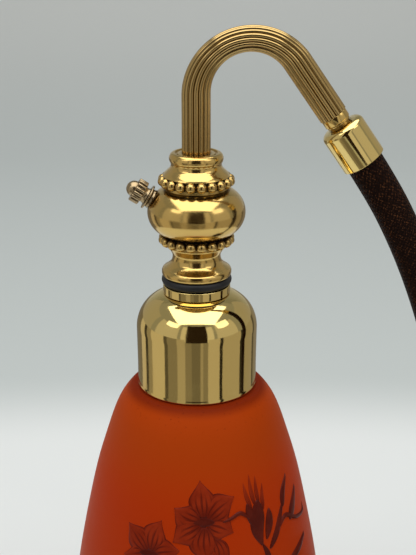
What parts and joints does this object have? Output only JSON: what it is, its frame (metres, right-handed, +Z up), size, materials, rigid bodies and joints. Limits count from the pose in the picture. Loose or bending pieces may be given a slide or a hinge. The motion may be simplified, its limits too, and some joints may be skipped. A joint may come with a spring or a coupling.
{
  "type": "perfume atomiser",
  "caption": "Perfume atomiser: satin glass bottle with a domed brass collar, a screw-in spray head with a reeded swan neck, and a hanging hose with a squeeze bulb.",
  "frame": {"origin": "centre of the bottle's flat base, on the bottle's axis", "axes": "+Z up along the bottle's axis, +X the way the swan neck bends, -X the side of the spray nozzle"},
  "size_m": [0.1162, 0.064, 0.1956],
  "materials": {
    "satin_glass": "satin, acid-etched, nearly opaque",
    "clear_glass": "clear",
    "polished_brass": "mirror polished",
    "cast_brass": "polished, darkened in its hollows",
    "reeded_brass": "satin drawn tube",
    "cement": "matte cement",
    "black_rubber": "satin",
    "bulb_rubber": "matte",
    "braid": "tight braid, slightly shiny",
    "knit": "knitted net"
  },
  "bodies": {
    "bottle": {"bottle_glass": "satin_glass", "neck_collar": "polished_brass", "collar_cement": "cement", "thread_bush": "cast_brass", "lip_gasket": "black_rubber"},
    "seal": {"o_ring": "black_rubber"},
    "dip_stage": {"dip_tube": "clear_glass"},
    "head": {"screw_plug": "cast_brass", "head_foot": "cast_brass", "lower_beaded_ring": "cast_brass", "head_body": "cast_brass", "upper_beaded_ring": "cast_brass", "top_collar": "cast_brass", "neck_washer": "cast_brass", "swan_neck": "reeded_brass", "neck_end_ring": "cast_brass", "hose_nipple": "cast_brass", "hose_ferrule": "polished_brass", "hose": "braid", "bulb_ferrule": "polished_brass", "bulb_nipple": "cast_brass", "bulb": "bulb_rubber", "bulb_cover": "knit", "tube_sleeve": "black_rubber", "liquid_tube": "cast_brass", "nozzle_boss": "cast_brass"},
    "nozzle_ring": {"nozzle_washer": "cast_brass"},
    "nozzle_cap": {"nozzle_cap": "cast_brass", "nozzle_tip": "cast_brass"},
    "bulb_end": {"valve_housing": "polished_brass", "valve_seat": "cast_brass", "valve_guard": "cast_brass"},
    "intake_valve": {"valve_disc": "bulb_rubber"}
  },
  "joints": [
    {"name": "head_lift", "type": "slide", "parent": "bottle", "child": "seal", "axis": [0, 0, 1], "range_m": [0, 0.135]},
    {"name": "thread_rise", "type": "slide", "parent": "seal", "child": "dip_stage", "axis": [0, 0, 1], "range_m": [0, 0.00505]},
    {"name": "head_turn", "type": "hinge", "parent": "dip_stage", "child": "head", "pos_m": [0, 0, 0.1366], "axis": [0, 0, 1], "range_deg": [0, 1440]},
    {"name": "nozzle_out", "type": "slide", "parent": "head", "child": "nozzle_ring", "axis": [-0.848, 0, 0.53], "range_m": [0, 0.0015]},
    {"name": "nozzle_turn", "type": "hinge", "parent": "nozzle_ring", "child": "nozzle_cap", "pos_m": [-0.0056, 0, 0.1538], "axis": [-0.848, 0, 0.53], "range_deg": [0, 1080]},
    {"name": "bulb_squeeze", "type": "slide", "parent": "head", "child": "bulb_end", "axis": [0, 0, 1], "range_m": [0, 0.01], "stiffness_N_per_m": 400, "deforming": ["bulb", "bulb_cover"]},
    {"name": "intake_lift", "type": "slide", "parent": "bulb_end", "child": "intake_valve", "axis": [0, 0, 1], "range_m": [0, 0.0006]}
  ],
  "couplings": [
    {"joint": "thread_rise", "follows": "head_turn", "m_per_rad": 0.00019894},
    {"joint": "nozzle_turn", "follows": "nozzle_out", "rad_per_m": 12566}
  ]
}
